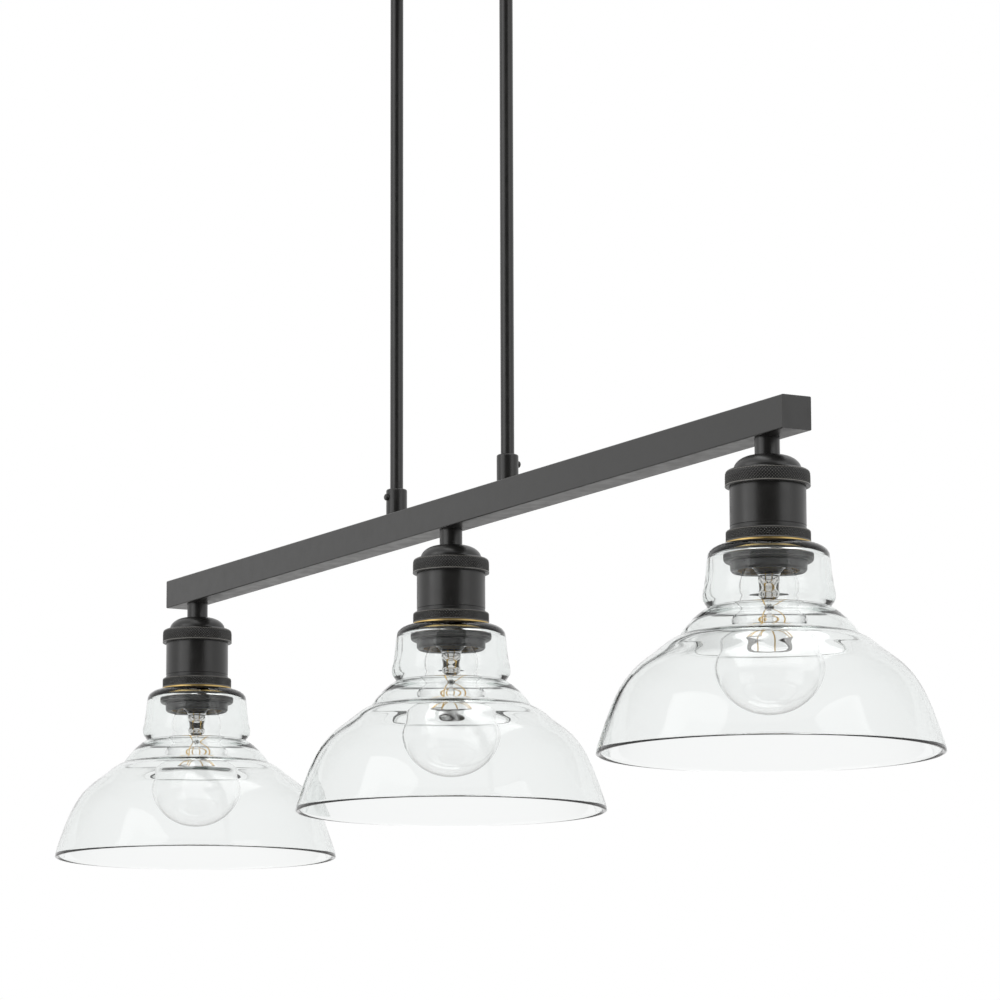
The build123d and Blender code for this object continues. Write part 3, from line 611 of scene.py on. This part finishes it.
for number in lampNumbers:
    centre, _, top, _ = span(f"bulb_cap_{number}")
    turnedPiece(f"bulbEnvelope{number}", bulbEnvelope(top), centre, bulbGlass, f"bulb_{number}", "bulb_glass",
                f"bulb_glass_{number}", 128)
    screwCap(number, centre, top)
    mountGlass(number, centre, top)
    filament(number, centre, top - bulb["coilLevel"])
    supportWires(number, centre, top, top - bulb["coilLevel"])
print("bulbs made")


holder = {
    "topKnurl": (0.9, 1.3), "lowerKnurl": (0.5, 0.9), "retainerKnurl": (1.3, 1.3),
    "topRound": 3.6, "lowerRound": 1.75, "retainerRound": 2.0,
    "bodyRadius": 22.35, "bodyWall": 1.2, "grooveHeight": 1.6, "grooveWidth": 0.9, "grooveDepth": 0.35,
    "domeRadius": 19.9, "domeHeight": 8.5, "domeWall": 1.5, "stemRadius": 7.4,
    "flangeRadius": 22.0, "flangeDrop": 1.5, "flangeThickness": 1.2,
    "hubRadius": 8.5, "hubDrop": 2.0, "threadRadius": 4.85, "webThickness": 1.5, "floorThickness": 1.6,
    "stepRadius": 22.4, "stepHeight": 5.2, "mouth": 18.0, "sleeveRadius": 19.5, "sleeveGap": 0.3,
    "ridges": ((21.5, 0.1, 0.35), (20.7, 0.65, 0.12), (20.0, 0.2, 0.12), (19.3, 0.75, 0.12),
               (18.7, 0.4, 0.12)),
    "fit": 0.1, "hang": "hanging_frame",
}


def knurledRing(name, node, body, outline, band, radius):
    # a turned ring whose band is covered in diamonds; rows and columns meet the grooves
    low, high = band
    relief, columns = diamonds(radius, low, high)
    outline = withRows(outline, radius, low, high, knurl["pitch"] / knurl["samples"])
    centre = lampCentres[int(node[-1])]
    piece = turnedPiece(name, outline, centre, coat, body, "black_powder_coat", node, columns, relief)
    # the attribute "crest" runs from -1 in a groove to 1 on a crest, and is 0 away from the diamonds; the
    # powder coat reads it to paint shade into the grooves and a highlight onto the crests
    mesh = piece.data
    spots = np.empty(len(mesh.vertices) * 3)
    mesh.vertices.foreach_get("co", spots)
    spots = spots.reshape(-1, 3) / toMetres
    turned = spots[:, :2] - centre
    height = relief(np.arctan2(turned[:, 1], turned[:, 0]), np.full(len(spots), radius), spots[:, 2])
    outside = np.linalg.norm(turned, axis=1) > radius - knurl["crestReach"]
    onBand = (spots[:, 2] > low) & (spots[:, 2] < high) & outside
    crest = mesh.attributes.new("crest", "FLOAT", "POINT")
    level = np.where(onBand, 1 + 2 * height / knurl["depth"], 0.0)
    crest.data.foreach_set("value", level.astype(np.float32))
    return piece


def bareInside(ring, centre, radius):
    # the ring's bore and thread stay bare brass: the faces inside this radius that look at the axis
    mesh = ring.data
    mesh.materials.append(brass)
    middles = np.empty(len(mesh.polygons) * 3)
    normals = np.empty(len(mesh.polygons) * 3)
    mesh.polygons.foreach_get("center", middles)
    mesh.polygons.foreach_get("normal", normals)
    out = middles.reshape(-1, 3)[:, :2] / toMetres - centre
    reach = np.linalg.norm(out, axis=1)
    inward = np.sum(normals.reshape(-1, 3)[:, :2] * out, axis=1) < -0.9 * reach
    mesh.polygons.foreach_set("material_index", ((reach < radius) & inward).astype(np.int32))


def topRing(number):
    # rounded shoulder and side covered in diamonds, and a web that rests on the cap's flange
    h = holder
    _, low, high, radius = span(f"top_ring_{number}")
    inner, lip, web = h["bodyRadius"] + h["fit"], h["domeRadius"] + h["fit"], high - h["webThickness"]
    outline = rounded((lip, high, 0.2), (radius, high, h["topRound"]), (radius, low, 0.5),
                      (inner, low, 0.15), (inner, web), (lip, web), steps=17)
    knurledRing(f"topRing{number}", f"top_ring_{number}", h["hang"], outline,
                (low + h["topKnurl"][0], high - h["topKnurl"][1]), radius)


def socketBody(number):
    # plain tube with a thin groove above the lower ring
    h = holder
    _, low, high, radius = span(f"socket_body_{number}")
    groove = span(f"lower_ring_{number}")[2] + h["grooveHeight"]
    grooveTop = groove + h["grooveWidth"]
    inside, sunk, edge = radius - h["bodyWall"], radius - h["grooveDepth"], 0.12
    outline = rounded(
        (inside, low), (radius, low), (radius, groove, edge), (sunk, groove + edge, 0.1),
        (sunk, grooveTop - edge, 0.1), (radius, grooveTop, edge), (radius, high), (inside, high))
    turnedPiece(f"socketBody{number}", outline, lampCentres[number], coat, h["hang"], "black_powder_coat",
                f"socket_body_{number}", 144)


def lowerRing(number):
    # knurled ring with a rounded upper edge, closed below down to the sleeve
    h = holder
    _, low, high, radius = span(f"lower_ring_{number}")
    inner, hole, floor = h["bodyRadius"] + h["fit"], h["sleeveRadius"] + h["fit"], low + h["floorThickness"]
    outline = rounded((inner, high, 0.15), (radius, high, h["lowerRound"]), (radius, low, 0.3),
                      (hole, low), (hole, floor), (inner, floor))
    knurledRing(f"lowerRing{number}", f"lower_ring_{number}", h["hang"], outline,
                (low + h["lowerKnurl"][0], high - h["lowerKnurl"][1]), radius)


def retainerRing(number):
    # knurled band, a smaller step under it, and fine ridges round its mouth
    h = holder
    _, low, high, radius = span(f"retainer_ring_{number}")
    stepTop, step, mouth = low + h["stepHeight"], h["stepRadius"], h["mouth"]
    thread = h["sleeveRadius"] + h["sleeveGap"]
    lipTop = span(f"threaded_sleeve_{number}")[1] - h["sleeveGap"]
    outline = rounded(
        (thread, high, 0.2), (radius, high, h["retainerRound"]), (radius, stepTop, h["retainerRound"]),
        (step, stepTop, 0.25), (step, low + 1.1, 0.7),
        *[(reach, low + rise, rounding) for reach, rise, rounding in h["ridges"]],
        (mouth, low + 0.9, 0.2), (mouth, lipTop, 0.2), (thread, lipTop))
    ring = knurledRing(f"retainerRing{number}", f"retainer_ring_{number}", f"ring_{number}", outline,
                       (stepTop + h["retainerKnurl"][0], high - h["retainerKnurl"][1]), radius)
    bareInside(ring, lampCentres[number], thread + h["fit"])


def domeCap(number):
    # domed cap with its hub, a quarter ellipse from the stem to the foot
    h = holder
    top = span(f"dome_cap_{number}")[2]
    foot = top - h["domeHeight"]
    t = np.linspace(0, np.pi / 2, 26)[:, None]
    stem, reach, wall = h["stemRadius"], h["domeRadius"] - h["stemRadius"], h["domeWall"]
    dome = np.hstack([stem + reach * np.sin(t), foot + h["domeHeight"] * np.cos(t)])
    under = np.hstack([stem + (reach - wall) * np.sin(t), foot + (h["domeHeight"] - wall) * np.cos(t)])[::-1]
    flangeTop = foot - h["flangeDrop"]
    flangeLow = flangeTop - h["flangeThickness"]
    hubLow = span(f"stem_{number}")[1]
    bore = h["threadRadius"] + h["fit"] / 2
    flange = [(h["domeRadius"], flangeTop), (h["flangeRadius"], flangeTop), (h["flangeRadius"], flangeLow),
              (h["domeRadius"] - wall, flangeLow)]
    hub = [(h["hubRadius"], top - h["hubDrop"]), (h["hubRadius"], hubLow), (bore, hubLow), (bore, top)]
    outline = np.concatenate([dome, flange, under[under[:, 0] > h["hubRadius"]], hub])
    turnedPiece(f"domeCap{number}", outline, lampCentres[number], coat, h["hang"], "black_powder_coat",
                f"dome_cap_{number}", 144)


for number in lampNumbers:
    for makePiece in (topRing, socketBody, lowerRing, retainerRing, domeCap):
        makePiece(number)
print("lamp holders made")


finishes = {
    "black_powder_coat": coat, "zinc_plated_steel": zinc, "brass": brass, "porcelain": porcelain,
    "clear_shade_glass": shadeGlass, "bulb_glass": bulbGlass, "bulb_mount": stemGlass,
    "black_insulation": blackVinyl, "white_insulation": whiteVinyl, "crimp_nylon": crimpNylon,
    "orange_plastic": orangePlastic, "green_screw": greenPlate,
}
slotOf = {part["node"]: part["material_slot"] for part in frame["record"]["subparts"]}
for nodeName, node in frame["nodes"].items():
    node.data.materials.clear()
    node.data.materials.append(finishes[slotOf[nodeName]])
print("nodes finished")


studio = {
    "floorLevel": -2.8, "floorHalf": 14.0, "worldDiffuse": 0.62, "lampTarget": (0, 0, -0.5),
    "lamps": (("leftSoftBox", (0.3, -2.4, 0.3), 2.0, 2.2, 26),
              ("rightSoftBox", (2.6, 0.9, 0.4), 1.6, 1.8, 16),
              ("topSoftBox", (0.2, 0.3, 1.9), 2.4, 1.8, 22)),
}


def studioFloor():
    half = studio["floorHalf"]
    level = studio["floorLevel"]
    mesh = bpy.data.meshes.new("studioFloor")
    corners = [(x * half, y * half, level) for x, y in ((-1, -1), (1, -1), (1, 1), (-1, 1))]
    mesh.from_pydata(corners, [], [(0, 1, 2, 3)])
    floor = putObject("studioFloor", mesh)
    material, tree, shader, _, place = newMaterial("paleStudioPaper", {"Roughness": 0.85})
    fibre = addNode(tree, "ShaderNodeTexNoise", inputs={
        "Vector": place, "Scale": inMetre / 300.0, "Detail": 3.0})
    layFinish(tree, shader, (fibre.outputs[0], "#f3f2f0", "#fbfaf9"))
    mesh.materials.append(material)


def studioWorld():
    # white where it is seen straight, in reflections and through glass; a softer level for its light
    world = bpy.data.worlds.new("studioWorld")
    world.use_nodes = True
    tree = world.node_tree
    tree.nodes.clear()
    path = addNode(tree, "ShaderNodeLightPath")
    seen = addNode(tree, "ShaderNodeMath", {"operation": "MAXIMUM"}, {
        0: path.outputs["Is Camera Ray"], 1: path.outputs["Is Transmission Ray"]})
    mirrored = addNode(tree, "ShaderNodeMath", {"operation": "MAXIMUM"}, {
        0: seen.outputs[0], 1: path.outputs["Is Glossy Ray"]})
    level = addNode(tree, "ShaderNodeMapRange", inputs={
        "Value": mirrored.outputs[0], "To Min": studio["worldDiffuse"]})
    sky = addNode(tree, "ShaderNodeBackground", inputs={
        "Color": linearColour("#ffffff"), "Strength": level.outputs[0]})
    addNode(tree, "ShaderNodeOutputWorld", inputs={"Surface": sky.outputs[0]})
    bpy.context.scene.world = world


def turnedTo(side, up, back, place):
    # the matrix of an object at this place whose own x, y and z are these three directions
    turn = np.eye(4)
    turn[:3] = np.stack([side, up, back, place], axis=1)
    return Matrix(turn.tolist())


def softBox(name, place, width, height, watts):
    # a rectangular lamp at a place in metres, turned to face the lamps' target
    lamp = bpy.data.lights.new(name, "AREA")
    lamp.shape = "RECTANGLE"
    lamp.size, lamp.size_y = width, height
    lamp.energy = watts
    heading = np.array(studio["lampTarget"]) - np.array(place)
    back = -heading / np.linalg.norm(heading)
    side = np.cross((0, 0, 1), back)
    side /= np.linalg.norm(side)
    putObject(name, lamp).matrix_world = turnedTo(side, np.cross(back, side), back, place)


def studioCamera():
    # the photograph's view: from the right front and below, with a long lens
    view = {"place": (2.6243, -1.4233, -0.9227), "lens": 166.4, "yaw": 60.91, "pitch": 9.404, "roll": -0.18}
    yaw, pitch, roll = [math.radians(view[key]) for key in ("yaw", "pitch", "roll")]
    ahead = np.array([-math.sin(yaw) * math.cos(pitch), math.cos(yaw) * math.cos(pitch), math.sin(pitch)])
    level = np.array([math.cos(yaw), math.sin(yaw), 0.0])
    above = np.cross(level, ahead)
    side = level * math.cos(roll) + above * math.sin(roll)
    up = above * math.cos(roll) - level * math.sin(roll)
    camera = bpy.data.cameras.new("photoCamera")
    camera.sensor_width = 36.0
    camera.lens = view["lens"]
    camera.clip_start, camera.clip_end = 0.05, 100.0
    eye = putObject("photoCamera", camera)
    eye.matrix_world = turnedTo(side, up, -ahead, view["place"])
    bpy.context.scene.camera = eye


def darkCard():
    # a dark curved card behind the camera, seen in reflections alone, that draws the edges of metal and
    # glass: an upright arc of this radius about the object, with the camera's bearing in its middle
    card = {"radius": 3.9, "low": -1.7, "high": 2.4, "bearing": -28.5, "halfArc": 62.0, "columns": 25}
    bearing = np.radians(card["bearing"] + card["halfArc"] * np.linspace(-1, 1, card["columns"]))
    foot = np.stack([card["radius"] * np.cos(bearing), card["radius"] * np.sin(bearing),
                     np.full(card["columns"], card["low"])], axis=1)
    head = foot + np.array([0, 0, card["high"] - card["low"]])
    index = np.arange(card["columns"] - 1)
    faces = np.stack([index, index + 1, index + 1 + card["columns"], index + card["columns"]], axis=1)
    mesh = bpy.data.meshes.new("darkCard")
    mesh.from_pydata(np.concatenate([foot, head]).tolist(), [], faces.tolist())
    flag = putObject("darkCard", mesh)
    material, tree, shader, _, place = newMaterial("blackStudioCloth", {"Roughness": 0.9})
    weave = addNode(tree, "ShaderNodeTexNoise", inputs={
        "Vector": place, "Scale": inMetre / 60.0, "Detail": 3.0})
    layFinish(tree, shader, (weave.outputs[0], "#060606", "#101010"))
    mesh.materials.append(material)
    flag.visible_camera = False
    flag.visible_transmission = False
    flag.visible_diffuse = False
    flag.visible_shadow = False


studioFloor()
studioWorld()
darkCard()
for lampSettings in studio["lamps"]:
    softBox(*lampSettings)
studioCamera()
bpy.context.scene.view_settings.view_transform = "Standard"
print("studio set")
